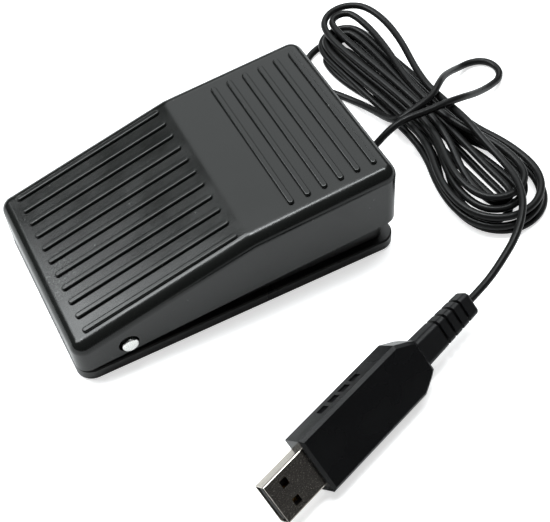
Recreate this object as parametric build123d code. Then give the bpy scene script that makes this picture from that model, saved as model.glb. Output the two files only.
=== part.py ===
from build123d import *
from math import cos, dist, hypot, pi, radians, sin, tan
import os

# Foot pedal switch with its cord and connector. All sizes are in millimetres.
# X runs across the pedal, +Y from the hinge end to the cord end, +Z up. The origin is on the floor,
# under the middle of the base. Everything is modelled with the pedal at rest, held up by its spring.

# Pedal cover
pedal_length = 100.0
pedal_width = 62.0
front_top = 16.3
crease_y = 4.7
front_slope = radians(14.92)
rear_slope = radians(4.42)
press_angle = radians(4.24)
skirt_wall = 2.0
roof_wall = 2.2
corner_radius = 4.0
edge_round = 3.7
crease_round = 8.0
skirt_gap = 0.8
skirt_chamfer = 0.4

# Grooves on the tread
tread_rib_width = 1.9
tread_rib_height = 0.8
tread_rib_round = 0.55
front_rib_count = 11
front_rib_pitch = 5.25
front_rib_start = 4.9
front_rib_length = 47.1
rear_rib_count = 6
rear_rib_pitch = 5.14
rear_rib_end = 5.2
rear_rib_length = 50.8
rear_rib_shift = 0.2

# Base tray
foot_proud = 0.6
foot_diameter = 10.0
foot_thick = 1.4
foot_inset_x = 9.0
foot_inset_y = 12.0
flange_thick = 4.0
flange_setback = 0.3
flange_corner = 5.0
flange_chamfer = 0.4
floor_thick = 2.0
tray_wall = 2.0
tray_corner = 3.5
tray_side_gap = 0.6
tray_end_gap = 1.0
tray_wall_top = 12.1

# Hinge
hinge_from_front = 15.4
hinge_height = 10.3
pin_diameter = 4.8
pin_proud = 0.8
pin_chamfer = 0.4
pin_fit = 0.02
pin_running_fit = 0.05
side_hole_diameter = 6.0
side_hole_shift = (-0.2, 0.3)
ear_thick = 4.0
ear_radius = 5.0
lug_thick = 3.5
lug_side_gap = 0.5
lug_radius = 4.6

# Return spring and stops
spring_diameter = 12.0
spring_wire = 0.9
spring_turns = 6.5
spring_rest_length = 22.0
spring_seat_diameter = 14.0
spring_nub_height = 3.0
spring_clearance = 0.45
stop_x = 18.0
stop_from_rear = 12.0
stop_diameter = 6.0
stop_top = 14.0
stop_clearance = 0.1
nub_x = 15.0
nub_width = 8.0
nub_clearance = 0.05
rib_x = 13.5
rib_thick = 1.4
rib_depth = 4.0

# Microswitch
switch_front_y = -2.0
switch_bottom = 8.0
switch_length = 19.8
switch_height = 10.2
switch_width = 6.4
cover_thick = 1.2
case_wall = 1.0
switch_hole_diameter = 2.35
switch_hole_first = 5.1
switch_hole_spacing = 9.5
switch_hole_height = 2.8
switch_boss_radius = 2.1
bracket_thick = 3.0
terminal_width = 3.2
terminal_thick = 0.5
terminal_drop = 4.5
common_y = 1.7
open_y = 9.9
closed_y = 17.9
contact_y = 16.2
contact_diameter = 2.0
blade_width = 3.0
blade_thick = 0.2
blade_z = 6.6
contact_rise = 0.5
arm_thick = 0.3
open_gap = 0.5
lever_pin_diameter = 1.0
lever_pin_y = 1.3
lever_pin_rise = 1.1
lever_pin_fit = 0.01
lever_running_fit = 0.03
lever_ear_radius = 0.9
lever_ear_gap = 0.15
lever_lug_half = 1.6
lever_thick = 0.4
lever_stand = 1.15
lever_reach = 15.5
lever_rest_angle = radians(16.0)
plunger_from_pin = 4.5
plunger_width = 2.6
plunger_length = 3.0
plunger_clearance = 0.12
plunger_foot_thick = 0.9
plunger_lever_gap = 0.15
pusher_from_pin = 14.1
pusher_radius = 1.6
pusher_width = 6.0
pusher_gap = 0.3

# Screws
screw_diameter = 2.0
screw_head_diameter = 3.8
screw_head_height = 1.3
screw_slot_width = 0.6
screw_slot_depth = 0.6
screw_fit = 0.02

# Cord, its grommet and its clamp
cord_diameter = 2.3
cord_height = 4.8
cord_channel_gap = 0.2
grommet_diameter = 4.2
grommet_flange_diameter = 5.6
grommet_flange_thick = 1.2
grommet_fit = 0.05
clamp_from_wall = 4.0
clamp_post_x = 6.5
clamp_post_diameter = 5.0
clamp_bar_depth = 5.0
clamp_bar_thick = 1.6
clamp_screw_length = 5.0
tail_length = 9.5
lead_diameter = 1.0
lead_spread = 0.6
lead_side = 9.0
lead_clearance = 0.2

# Hank of wound cord: loops drawn in at the waist, fanned out towards the plug side
hank_waist = (-5.0, 81.7)
hank_turn = 6.5
hank_left_x = -47.6
hank_right_x = 35.0
hank_layers = 4
hank_runs = 4
waist_offset = 6.8
waist_step = 3.0
left_offset = 8.0
left_step = 3.0
right_offset = 14.0
right_step = 5.4
right_shift = -3.0
loose_far_offset = 12.5
layer_step = 2.75
hank_start_x = -30.0
hank_end_x = 3.0
hank_clearance = 0.05

# Connector on the end of the cord, in its own frame: tip at y = 0, the cord leaves along +y
plug_tip = (90.8, -21.8)
plug_heading = radians(-20.5)
plug_roll = radians(45.7)
shell_width = 12.0
shell_height = 4.5
shell_wall = 0.3
shell_corner = 0.5
shell_exposed = 14.0
shell_inside = 5.0
window_size = 2.2
window_spacing = 5.8
window_from_tip = 5.2
tongue_width = 10.6
tongue_thick = 1.9
tongue_setback = 0.4
contact_strip_width = 1.0
contact_strip_pitch = 2.3
contact_strip_thick = 0.15
contact_strip_length = 8.0
housing_width = 16.8
housing_height = 8.5
housing_straight = 37.3
housing_length = 43.5
housing_wall = 1.2
housing_chamfer = 0.9
housing_end_half = 4.9
housing_hip_half = 6.1
housing_hip_length = 41.8
recess_count = 4
recess_pitch = 4.15
recess_first = 11.9
recess_length = 2.9
recess_height = 2.6
recess_depth = 0.6
boot_length = 22.7
boot_root_width = 8.2
boot_root_height = 5.9
boot_tip_width = 7.2
boot_tip_height = 5.4
boot_corner = 1.4
boot_flange_width = 11.0
boot_flange_thick = 2.0
boot_groove_count = 4
boot_groove_width = 0.9
boot_groove_depth = 1.0
boot_groove_pitch = 3.1
boot_groove_first = 9.1
boot_end_round = 1.0
board_width = 12.4
board_thick = 1.0
board_length = 27.0
board_post_diameter = 1.8
board_post_inset = 1.2
chip_size = (6.2, 5.2, 1.5)
crystal_size = (11.0, 4.4, 1.9)
capacitor_size = (1.6, 0.9, 0.8)
part_fit = 0.1

# Places worked out from the sizes above
half_length = pedal_length / 2
half_width = pedal_width / 2
crease_z = front_top + (crease_y + half_length) * tan(front_slope)
base_width = pedal_width - 2 * flange_setback
flange_top = foot_proud + flange_thick
floor_top = foot_proud + floor_thick
tray_width = pedal_width - 2 * (skirt_wall + tray_side_gap)
tray_length = pedal_length - 2 * (skirt_wall + tray_end_gap)
skirt_front = flange_top + skirt_gap
skirt_rear = skirt_front + pedal_length * tan(press_angle)
hinge_y = -half_length + hinge_from_front
pin_length = pedal_width + 2 * pin_proud
spring_seat = floor_top + spring_rest_length
spring_nub_radius = spring_diameter / 2 - spring_wire - spring_clearance
switch_top = switch_bottom + switch_height
lever_y = switch_front_y + lever_pin_y
lever_z = switch_top + lever_pin_rise
pusher_y = lever_y + pusher_from_pin
rear_wall_inner = tray_length / 2 - tray_wall
tail_end = tray_length / 2 - tail_length
clamp_y = rear_wall_inner - clamp_from_wall
stop_y = half_length - stop_from_rear
spring_y = (switch_front_y + switch_length + tail_end) / 2
lead_height = floor_top + lead_diameter / 2 + lead_clearance
plug_length = shell_exposed + housing_length + boot_length


def tread_height(y, drop=0.0):
    """Height of the tread at y, on a surface that lies the distance drop under it."""
    if y < crease_y:
        return crease_z + (y - crease_y) * tan(front_slope) - drop / cos(front_slope)
    return crease_z + (y - crease_y) * tan(rear_slope) - drop / cos(rear_slope)


def pedal_form(inset, drop, low_front, low_rear):
    """Wedge form of the pedal: inset from its sides and ends, and the distance drop under its tread."""
    end = half_length - inset
    side = half_width - inset
    shift = drop * (1 / cos(front_slope) - 1 / cos(rear_slope)) / (tan(front_slope) - tan(rear_slope))
    crease = (crease_y + shift, tread_height(crease_y + shift, drop))
    outline = [
        (-end, low_front),
        (-end, tread_height(-end, drop)),
        crease,
        (end, tread_height(end, drop)),
        (end, low_rear),
    ]
    form = extrude(Plane.YZ * Polygon(*outline, align=None), amount=side, both=True)
    across = form.edges().filter_by(Axis.X)
    ridge = across.sort_by(lambda e: hypot(e.center().Y - crease[0], e.center().Z - crease[1]))[0]
    form = fillet(ridge, crease_round)
    form = fillet(form.edges().filter_by(Axis.Z), corner_radius - inset)
    rim = []
    for edge in form.edges():
        ends = [edge.position_at(0), edge.position_at(1)]
        on_top = all(abs(p.Z - tread_height(p.Y, drop)) < crease_round / 10 for p in ends)
        inner_line = abs(ends[0].Y - ends[1].Y) < 0.01 and abs(ends[0].Y) < end - corner_radius
        if on_top and not inner_line:
            rim.append(edge)
    return fillet(rim, edge_round - inset)


def block(x, y, z):
    """Box between two values on each axis."""
    size = [high - low for low, high in (x, y, z)]
    middle = [(high + low) / 2 for low, high in (x, y, z)]
    return Pos(*middle) * Box(*size)


def rod_x(radius, x, y, z):
    """Round rod along X between two values of x."""
    return Pos((x[0] + x[1]) / 2, y, z) * Rot(0, 90, 0) * Cylinder(radius, x[1] - x[0])


def rod_y(radius, x, y, z):
    """Round rod along Y between two values of y."""
    return Pos(x, (y[0] + y[1]) / 2, z) * Rot(90, 0, 0) * Cylinder(radius, y[1] - y[0])


def post(radius, x, y, z):
    """Round post along Z between two values of z."""
    return Pos(x, y, (z[0] + z[1]) / 2) * Cylinder(radius, z[1] - z[0])


def screw(length):
    """Pan head screw with a slot: its head stands on the plane z = 0 and its shank points down."""
    head = post(screw_head_diameter / 2, 0, 0, (0, screw_head_height))
    head = fillet(head.edges().sort_by(Axis.Z)[-1], screw_head_height / 2)
    half_slot = screw_slot_width / 2
    slot_floor = screw_head_height - screw_slot_depth
    slot = block(
        (-screw_head_diameter, screw_head_diameter), (-half_slot, half_slot), (slot_floor, screw_head_height)
    )
    shank = post(screw_diameter / 2, 0, 0, (-length, 0))
    return head + chamfer(shank.edges().sort_by(Axis.Z)[0], screw_diameter / 5) - slot


# Pedal cover


def tread_rib(plane, length):
    """Round-ended rib with a rounded crest, standing on the tread and rooted in it."""
    rib = extrude(Plane.XY * SlotOverall(length, tread_rib_width), amount=tread_rib_height, both=True)
    crest = rib.faces().sort_by(Axis.Z)[-1]
    return plane.location * fillet(crest.edges(), tread_rib_round)


def tread_ribs():
    """Ribs that keep the foot from slipping: lengthwise on the front slope, crosswise on the rear one."""
    ribs = []
    front_up = (0, -sin(front_slope), cos(front_slope))
    uphill = (0, cos(front_slope), sin(front_slope))
    middle_y = -half_length + front_rib_start + front_rib_length / 2
    for i in range(front_rib_count):
        x = (i - (front_rib_count - 1) / 2) * front_rib_pitch
        plane = Plane(origin=(x, middle_y, tread_height(middle_y)), x_dir=uphill, z_dir=front_up)
        ribs.append(tread_rib(plane, front_rib_length / cos(front_slope)))
    rear_up = (0, -sin(rear_slope), cos(rear_slope))
    for i in range(rear_rib_count):
        y = half_length - rear_rib_end - i * rear_rib_pitch
        plane = Plane(origin=(rear_rib_shift, y, tread_height(y)), x_dir=(1, 0, 0), z_dir=rear_up)
        ribs.append(tread_rib(plane, rear_rib_length))
    return ribs


def pusher_centre_z():
    """Height of the pusher's round end, which stays pusher_gap above the lever at rest."""
    reach = pusher_radius + pusher_gap + lever_stand + lever_thick
    return lever_z + (reach + pusher_from_pin * sin(lever_rest_angle)) / cos(lever_rest_angle)


def stop_boss_bottom():
    """Height of the pedal's stop bosses at rest, so that they meet the base's posts when pressed."""
    far_edge = stop_y + stop_diameter / 2
    pressed = stop_top + stop_clearance - hinge_height
    return hinge_height + (pressed + (far_edge - hinge_y) * sin(press_angle)) / cos(press_angle)


def pedal_inside():
    """Hinge lugs, pusher, spring seat, stop bosses and ribs under the pedal's roof."""
    high = crease_z + pedal_length * tan(front_slope)
    lug_outer = tray_width / 2 - ear_thick - lug_side_gap
    parts = []
    for side in (-1, 1):
        span = sorted((side * lug_outer, side * (lug_outer - lug_thick)))
        parts.append(rod_x(lug_radius, span, hinge_y, hinge_height))
        parts.append(block(span, (hinge_y - lug_radius, hinge_y + lug_radius), (hinge_height, high)))
        parts.append(post(stop_diameter / 2, side * stop_x, stop_y, (stop_boss_bottom(), high)))
    half = pusher_width / 2
    pusher_z = pusher_centre_z()
    parts.append(rod_x(pusher_radius, (-half, half), pusher_y, pusher_z))
    pusher_span = (pusher_y - pusher_radius, pusher_y + pusher_radius)
    parts.append(block((-half, half), pusher_span, (pusher_z, high)))
    parts.append(post(spring_seat_diameter / 2, 0, spring_y, (spring_seat, high)))
    parts.append(post(spring_nub_radius, 0, spring_y, (spring_seat - spring_nub_height, high)))
    rib_ends = (hinge_y + 2 * lug_radius, half_length - 2 * skirt_wall)
    ribs = [
        block((side * rib_x - rib_thick / 2, side * rib_x + rib_thick / 2), rib_ends, (floor_top, high))
        for side in (-1, 1)
    ]
    deep = pedal_form(skirt_wall / 4, roof_wall + rib_depth, floor_top, floor_top)
    parts.append(Part() + ribs - deep)
    return (Part() + parts) & pedal_form(skirt_wall / 2, roof_wall / 2, 0, 0)


def make_pedal_cover():
    shell = pedal_form(0, 0, skirt_front, skirt_rear)
    lower_rim = [e for e in shell.edges() if e.center().Z < min(skirt_rear, front_top) and e.length > corner_radius]
    lower_rim = [e for e in lower_rim if abs(e.position_at(0).Z - e.position_at(1).Z) < skirt_rear - skirt_front + 1]
    lower_rim = ShapeList(lower_rim).filter_by(Axis.Z, reverse=True)
    shell = chamfer([e for e in lower_rim if on_skirt_edge(e)], skirt_chamfer)
    shell -= pedal_form(skirt_wall, roof_wall, -foot_proud, -foot_proud)
    hole_y = hinge_y + side_hole_shift[0]
    hole_z = hinge_height + side_hole_shift[1]
    shell -= rod_x(side_hole_diameter / 2, (-pedal_width, pedal_width), hole_y, hole_z)
    cover = shell + pedal_inside() + tread_ribs()
    lug_span = tray_width / 2 - ear_thick
    cover -= rod_x(pin_diameter / 2 + pin_running_fit, (-lug_span, lug_span), hinge_y, hinge_height)
    for side in (-1, 1):
        x = (side * nub_x - nub_width / 2, side * nub_x + nub_width / 2)
        cover += block(x, (-half_length + skirt_chamfer, -half_length + skirt_wall),
                       (flange_top + nub_clearance, skirt_front + skirt_wall))
    return cover


def on_skirt_edge(edge):
    """True for an edge of the skirt's slanted lower rim."""
    rise = tan(press_angle)
    ends = [edge.position_at(0), edge.position_at(1)]
    return all(abs(p.Z - skirt_front - (p.Y + half_length) * rise) < 0.01 for p in ends)


# Base


def ring_outline(width, length, corner, z, height):
    return Pos(0, 0, z) * extrude(RectangleRounded(width, length, corner), height)


def foot_places():
    x = base_width / 2 - foot_inset_x
    y = half_length - foot_inset_y
    return [(sx * x, sy * y) for sx in (-1, 1) for sy in (-1, 1)]


def bracket_span():
    """Range of x of the upright bracket that carries the microswitch."""
    return (-switch_width / 2 - bracket_thick, -switch_width / 2)


def switch_holes():
    """Places in y and z of the two screw holes through the microswitch."""
    first = switch_front_y + switch_hole_first
    height = switch_bottom + switch_hole_height
    return [(first, height), (first + switch_hole_spacing, height)]


def make_base_tray():
    flange = ring_outline(base_width, pedal_length, flange_corner, foot_proud, flange_thick)
    outline = [e for e in flange.edges() if abs(e.position_at(0).Z - e.position_at(1).Z) < 0.01]
    flange = chamfer(outline, flange_chamfer)
    tray = ring_outline(tray_width, tray_length, tray_corner, foot_proud, tray_wall_top - foot_proud)
    inner_width = tray_width - 2 * tray_wall
    inner_length = tray_length - 2 * tray_wall
    pocket = ring_outline(inner_width, inner_length, tray_corner - tray_wall, floor_top, tray_wall_top)
    body = flange + tray - pocket
    for side in (-1, 1):
        span = sorted((side * tray_width / 2, side * (tray_width / 2 - ear_thick)))
        body += rod_x(ear_radius, span, hinge_y, hinge_height)
        body += block(span, (hinge_y - ear_radius, hinge_y + ear_radius), (foot_proud, hinge_height))
        body += post(stop_diameter / 2, side * stop_x, stop_y, (foot_proud, stop_top))
        body += post(clamp_post_diameter / 2, side * clamp_post_x, clamp_y, (foot_proud, clamp_rest()))
    body += post(spring_nub_radius, 0, spring_y, (foot_proud, floor_top + spring_nub_height))
    bracket_top = switch_bottom + switch_hole_height + switch_hole_diameter
    switch_ends = (switch_front_y, switch_front_y + switch_length)
    body += block(bracket_span(), switch_ends, (foot_proud, bracket_top))
    saddle_half = cord_diameter
    body += block(
        (-saddle_half, saddle_half),
        (clamp_y - clamp_bar_depth / 2, clamp_y + clamp_bar_depth / 2),
        (foot_proud, cord_height - cord_diameter / 2),
    )
    body -= rod_x(pin_diameter / 2 + pin_fit, (-pedal_width, pedal_width), hinge_y, hinge_height)
    for x, y in foot_places():
        recess = foot_thick - foot_proud
        body -= post(foot_diameter / 2 + part_fit, x, y, (foot_proud, foot_proud + recess))
    for y, z in switch_holes():
        body -= rod_x(screw_diameter / 2 + screw_fit, (-tray_width / 2 + tray_wall, 0), y, z)
    for side in (-1, 1):
        depth = clamp_rest() - clamp_screw_length
        body -= post(screw_diameter / 2 + screw_fit, side * clamp_post_x, clamp_y, (depth, clamp_rest()))
    body -= rod_y(grommet_diameter / 2 + grommet_fit, 0, (rear_wall_inner, tray_length / 2), cord_height)
    flange_start = rear_wall_inner - grommet_flange_thick - grommet_fit
    body -= rod_y(grommet_flange_diameter / 2 + grommet_fit, 0, (flange_start, rear_wall_inner), cord_height)
    body -= rod_y(cord_diameter / 2 + cord_channel_gap, 0, (tray_length / 2, pedal_length), cord_height)
    return body


def make_rubber_feet():
    feet = [post(foot_diameter / 2, x, y, (0, foot_thick)) for x, y in foot_places()]
    return Part() + [chamfer(foot.edges().sort_by(Axis.Z)[0], foot_proud / 2) for foot in feet]


def make_hinge_pin():
    pin = rod_x(pin_diameter / 2, (-pin_length / 2, pin_length / 2), hinge_y, hinge_height)
    return fillet(pin.edges().filter_by(GeomType.CIRCLE), pin_chamfer)


def make_return_spring():
    """Compression coil between the base's floor and the pedal's seat."""
    radius = (spring_diameter - spring_wire) / 2
    rise = spring_rest_length - nub_clearance - spring_wire
    path = Helix(rise / spring_turns, rise, radius)
    section = Plane(origin=path @ 0, z_dir=path % 0) * Circle(spring_wire / 2)
    coil = sweep(section, path=path, is_frenet=True)
    return Pos(0, spring_y, floor_top + spring_wire / 2) * coil


# Microswitch, built in its own frame: front end at y = 0, underside at z = 0, middle at x = 0


def place_switch(piece):
    return Pos(0, switch_front_y, switch_bottom) * piece


def local_holes():
    return [(switch_hole_first + i * switch_hole_spacing, switch_hole_height) for i in (0, 1)]


def terminal_slots():
    half = terminal_width / 2
    starts = (common_y, open_y, closed_y)
    return [block((-half, half), (y, y + terminal_thick), (-case_wall, case_wall)) for y in starts]


def make_switch_case():
    half = switch_width / 2
    inner = (-half + case_wall, half)
    case = block((-half, half - cover_thick), (0, switch_length), (0, switch_height))
    case -= block(inner, (case_wall, switch_length - case_wall), (case_wall, switch_height - case_wall))
    for y, z in local_holes():
        case += rod_x(switch_boss_radius, (-half, half - cover_thick), y, z)
        case -= rod_x(switch_hole_diameter / 2, (-half, half), y, z)
    case -= terminal_slots()
    lug = (-lever_lug_half, lever_lug_half)
    pin_z = switch_height + lever_pin_rise
    lug_span = (lever_pin_y - lever_ear_radius, lever_pin_y + lever_ear_radius)
    case += block(lug, lug_span, (switch_height - case_wall, pin_z))
    case += rod_x(lever_ear_radius, lug, lever_pin_y, pin_z)
    case -= rod_x(lever_pin_diameter / 2 + lever_pin_fit, lug, lever_pin_y, pin_z)
    plunger_y = lever_pin_y + plunger_from_pin
    slot_x = plunger_width / 2 + plunger_clearance
    slot_y = plunger_length / 2 + plunger_clearance
    case -= block((-slot_x, slot_x), (plunger_y - slot_y, plunger_y + slot_y),
                  (switch_height - 2 * case_wall, switch_height))
    return place_switch(case)


def make_switch_cover():
    half = switch_width / 2
    cover = block((half - cover_thick, half), (0, switch_length), (0, switch_height))
    for y, z in local_holes():
        cover -= rod_x(switch_hole_diameter / 2, (0, switch_width), y, z)
    return place_switch(chamfer(cover.faces().sort_by(Axis.X)[-1].edges(), cover_thick / 4))


def blade_terminal(y, top):
    """Flat terminal with a solder hole, from below the case up to its own height inside."""
    half = terminal_width / 2
    strip = block((-half, half), (y, y + terminal_thick), (-terminal_drop, top))
    return strip - rod_y(terminal_width / 5, 0, (y - 1, y + 1), -terminal_drop + terminal_width / 2)


def make_common_terminal():
    return place_switch(blade_terminal(common_y, blade_z))


def make_snap_blade():
    half = blade_width / 2
    blade = block((-half, half), (common_y, contact_y + contact_diameter / 2), (blade_z, blade_z + blade_thick))
    middle = blade_z + blade_thick / 2
    contact = post(contact_diameter / 2, 0, contact_y, (middle - contact_rise, middle + contact_rise))
    return place_switch(blade + contact)


def make_closed_terminal():
    """Normally closed contact, above the blade's own contact and touching it at rest."""
    touch = blade_z + blade_thick / 2 + contact_rise
    half = blade_width / 2
    arm = (touch + arm_thick, touch + 2 * arm_thick)
    strip = blade_terminal(closed_y, arm[1])
    strip += block((-half, half), (contact_y - contact_diameter / 2, closed_y + terminal_thick / 2), arm)
    return place_switch(strip + post(contact_diameter / 2, 0, contact_y, (touch, arm[0])))


def make_open_terminal():
    """Normally open contact, under the blade's own contact."""
    touch = blade_z + blade_thick / 2 - contact_rise - open_gap
    half = blade_width / 2
    arm = (touch - 2 * arm_thick, touch - arm_thick)
    strip = blade_terminal(open_y, arm[1])
    strip += block((-half, half), (open_y, contact_y + contact_diameter / 2), arm)
    return place_switch(strip + post(contact_diameter / 2, 0, contact_y, (arm[1], touch)))


def make_switch_screws():
    """Two screws through the case into the base's bracket."""
    length = switch_width + bracket_thick * 0.9
    turned = Rot(0, 90, 0) * screw(length)
    return Part() + [Pos(switch_width / 2, y, z) * turned for y, z in switch_holes()]


def make_lever_pin():
    reach = lever_lug_half + lever_ear_gap + 2 * lever_thick
    return rod_x(lever_pin_diameter / 2, (-reach, reach), lever_y, lever_z)


def make_switch_lever():
    """Sheet steel lever: a strip over the plunger with two ears folded down onto its pin."""
    inner = lever_lug_half + lever_ear_gap
    outer = inner + lever_thick
    bottom = lever_stand
    lever = block((-outer, outer), (-lever_ear_radius, lever_reach), (bottom, bottom + lever_thick))
    for side in (-1, 1):
        span = sorted((side * inner, side * outer))
        lever += rod_x(lever_ear_radius, span, 0, 0)
        lever += block(span, (-lever_ear_radius, lever_ear_radius), (0, bottom))
    lever -= rod_x(lever_pin_diameter / 2 + lever_running_fit, (-outer, outer), 0, 0)
    corners = lever.edges().filter_by(Axis.Z).group_by(Axis.Y)[-1]
    lever = fillet(corners, outer / 3)
    return Pos(0, lever_y, lever_z) * Rot(lever_rest_angle * 180 / pi, 0, 0) * lever


def plunger_top_centre():
    """Height of the plunger's round top above the lever's pin."""
    radius = plunger_length / 2
    reach = plunger_from_pin * sin(lever_rest_angle) + lever_stand - radius - plunger_lever_gap
    return reach / cos(lever_rest_angle)


def make_switch_plunger():
    y = lever_pin_y + plunger_from_pin
    half = plunger_width / 2
    radius = plunger_length / 2
    centre = switch_height + lever_pin_rise + plunger_top_centre()
    blade_top = blade_z + blade_thick + plunger_clearance
    foot_top = switch_height - case_wall - plunger_clearance
    plunger = rod_x(radius, (-half, half), y, centre)
    plunger += block((-half, half), (y - radius, y + radius), (foot_top, centre))
    foot_half = half + plunger_clearance * 4
    foot = (foot_top - plunger_foot_thick, foot_top)
    plunger += block((-foot_half, foot_half), (y - radius * 1.4, y + radius * 1.4), foot)
    plunger += block((-half / 2, half / 2), (y - radius / 2, y + radius / 2), (blade_top, foot_top))
    return place_switch(plunger)


# Cord: grommet, clamp, free stretches and hank


def make_cord_grommet():
    flange_start = rear_wall_inner - grommet_flange_thick
    body = rod_y(grommet_diameter / 2, 0, (rear_wall_inner, tray_length / 2), cord_height)
    body += rod_y(grommet_flange_diameter / 2, 0, (flange_start, rear_wall_inner), cord_height)
    return body - rod_y(cord_diameter / 2 + grommet_fit, 0, (flange_start, tray_length), cord_height)


def clamp_rest():
    """Height of the clamp's posts: the bar presses on the cord's jacket."""
    return cord_height + cord_diameter / 2


def make_cord_clamp():
    reach = clamp_post_x + clamp_post_diameter / 2
    depth = clamp_bar_depth / 2
    z = (clamp_rest(), clamp_rest() + clamp_bar_thick)
    bar = block((-reach, reach), (clamp_y - depth, clamp_y + depth), z)
    bar = fillet(bar.edges().filter_by(Axis.Z), depth * 0.8)
    for side in (-1, 1):
        bar -= post(screw_diameter / 2 + part_fit, side * clamp_post_x, clamp_y, z)
    return bar


def make_clamp_screws():
    top = clamp_rest() + clamp_bar_thick
    one = screw(clamp_bar_thick + clamp_screw_length - part_fit)
    return Part() + [Pos(side * clamp_post_x, clamp_y, top) * one for side in (-1, 1)]


def make_cord_tail():
    """End of the cord's jacket inside the base, from its cut end to the grommet's outer face."""
    return rod_y(cord_diameter / 2, 0, (tail_end, tray_length / 2), cord_height)


def corner_radii(points):
    """Radius at each corner of a route: 0.45 of its shorter run over the tangent of half the turn."""
    radii = []
    for before, corner, after in zip(points, points[1:], points[2:]):
        run_in = Vector(*corner) - Vector(*before)
        run_out = Vector(*after) - Vector(*corner)
        half_turn = radians(run_in.get_angle(run_out)) / 2
        radii.append(0.45 * min(run_in.length, run_out.length) / tan(half_turn))
    return radii


def tube(name, points, diameter):
    """Round tube along straight runs joined by tangent arcs."""
    radii = corner_radii(points)
    path = FilletPolyline(*points, radius=radii)
    section = Plane(origin=path @ 0, z_dir=path % 0) * Circle(diameter / 2)
    solid = sweep(section, path=path)
    expected = pi * diameter**2 / 4 * path.length
    print(name, "length", round(path.length, 1), "volume ratio", round(solid.volume / expected, 4))
    print(name, "radii", [round(r, 1) for r in radii])
    return solid


def lead_start(side):
    """First points of a lead: out of the cord's cut jacket and down to the floor beside the spring."""
    drop = cord_height - lead_height
    return [
        (side * lead_spread, tail_end, cord_height),
        (side * lead_spread, tail_end - 0.15 * tail_length, cord_height),
        (side * 0.31 * lead_side, tail_end - 0.32 * tail_length, lead_height + 0.73 * drop),
        (side * 0.87 * lead_side, tail_end - 0.5 * tail_length, lead_height + 0.2 * drop),
    ]


def make_lead_open():
    """Insulated lead from the cord's end to the normally open terminal."""
    y = switch_front_y + open_y + terminal_thick / 2
    z = switch_bottom - terminal_drop * 0.75
    points = lead_start(1) + [
        (lead_side, tail_end - 1.32 * tail_length, lead_height),
        (0.93 * lead_side, y + 0.3 * switch_length, lead_height),
        (0.73 * lead_side, y + 0.9 * lead_diameter, (lead_height + cord_height) / 2 - lead_clearance),
        (terminal_width / 2, y, z),
    ]
    return tube("lead_open", points, lead_diameter)


def make_lead_common():
    """Insulated lead from the cord's end, round the bracket, to the common terminal."""
    z = switch_bottom - terminal_drop * 0.75
    back, front = switch_front_y + switch_length, switch_front_y
    points = lead_start(-1) + [
        (-1.02 * lead_side, back + 0.26 * switch_length, lead_height),
        (-lead_side, back - 0.29 * switch_length, lead_height),
        (-0.98 * lead_side, front + 0.15 * switch_length, lead_height + 0.5 * lead_clearance),
        (-0.73 * lead_side, front - 0.22 * switch_length, lead_height + 2 * lead_clearance),
        (-0.07 * lead_side, front - 0.25 * switch_length, cord_height - 2 * lead_clearance),
        (0.0, front + common_y, z),
    ]
    return tube("lead_common", points, lead_diameter)


def hank_point(x, across, z):
    """Point of the hank, from its waist along its length and across it."""
    turn = radians(hank_turn)
    return (
        hank_waist[0] + x * cos(turn) - across * sin(turn),
        hank_waist[1] + x * sin(turn) + across * cos(turn),
        z,
    )


def layer_height(layer):
    return hank_clearance + cord_diameter / 2 + layer * layer_step


def lobe_point(step, left, loose):
    """Where a run meets a lobe's half turn: its place along the hank and across it."""
    side = -1 if step % 2 == 0 else 1
    if left and loose and side > 0:
        return (hank_left_x, loose_far_offset)
    if left:
        return (hank_left_x, side * (left_offset - left_step / 2 * step))
    return (hank_right_x, right_shift + side * (right_offset - right_step / 2 * step))


def hank_passes():
    """Runs of the hank in order: each a step inwards from the outside, and its layer at both ends.

    Even steps run on the near side towards the left end, odd ones on the far side towards the right.
    A pass through all steps fills a layer, and the run past its last step climbs to the next layer.
    """
    passes = []
    for layer in range(hank_layers):
        steps = range(hank_runs) if layer % 2 == 0 else range(hank_runs - 1, -1, -1)
        passes += [(step, layer, layer) for step in steps]
        if layer < hank_layers - 1:
            turning = hank_runs if layer % 2 == 0 else -1
            passes.append((turning, layer, layer + 1))
    return passes[:-1]


def s_bend(start, end, heading):
    """Two equal tangent arcs between points whose tangents are both the heading, or one straight line."""
    a, b = Vector(*start), Vector(*end)
    along = (b - a).dot(heading)
    across = (b - a - heading * along).length
    if across < 0.01:
        return [Line(a, b)]
    middle = (a + b) * 0.5
    first = TangentArc(a, middle, tangent=heading)
    return [first, TangentArc(middle, b, tangent=first % 1)]


def half_turn(start, end, bulge):
    """Half circle between two points, bulging along the hank."""
    a, b = Vector(*start), Vector(*end)
    middle = (a + b) * 0.5
    outward = bulge * ((b - a).length / 2)
    return ThreePointArc(a, middle + outward, b)


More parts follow.
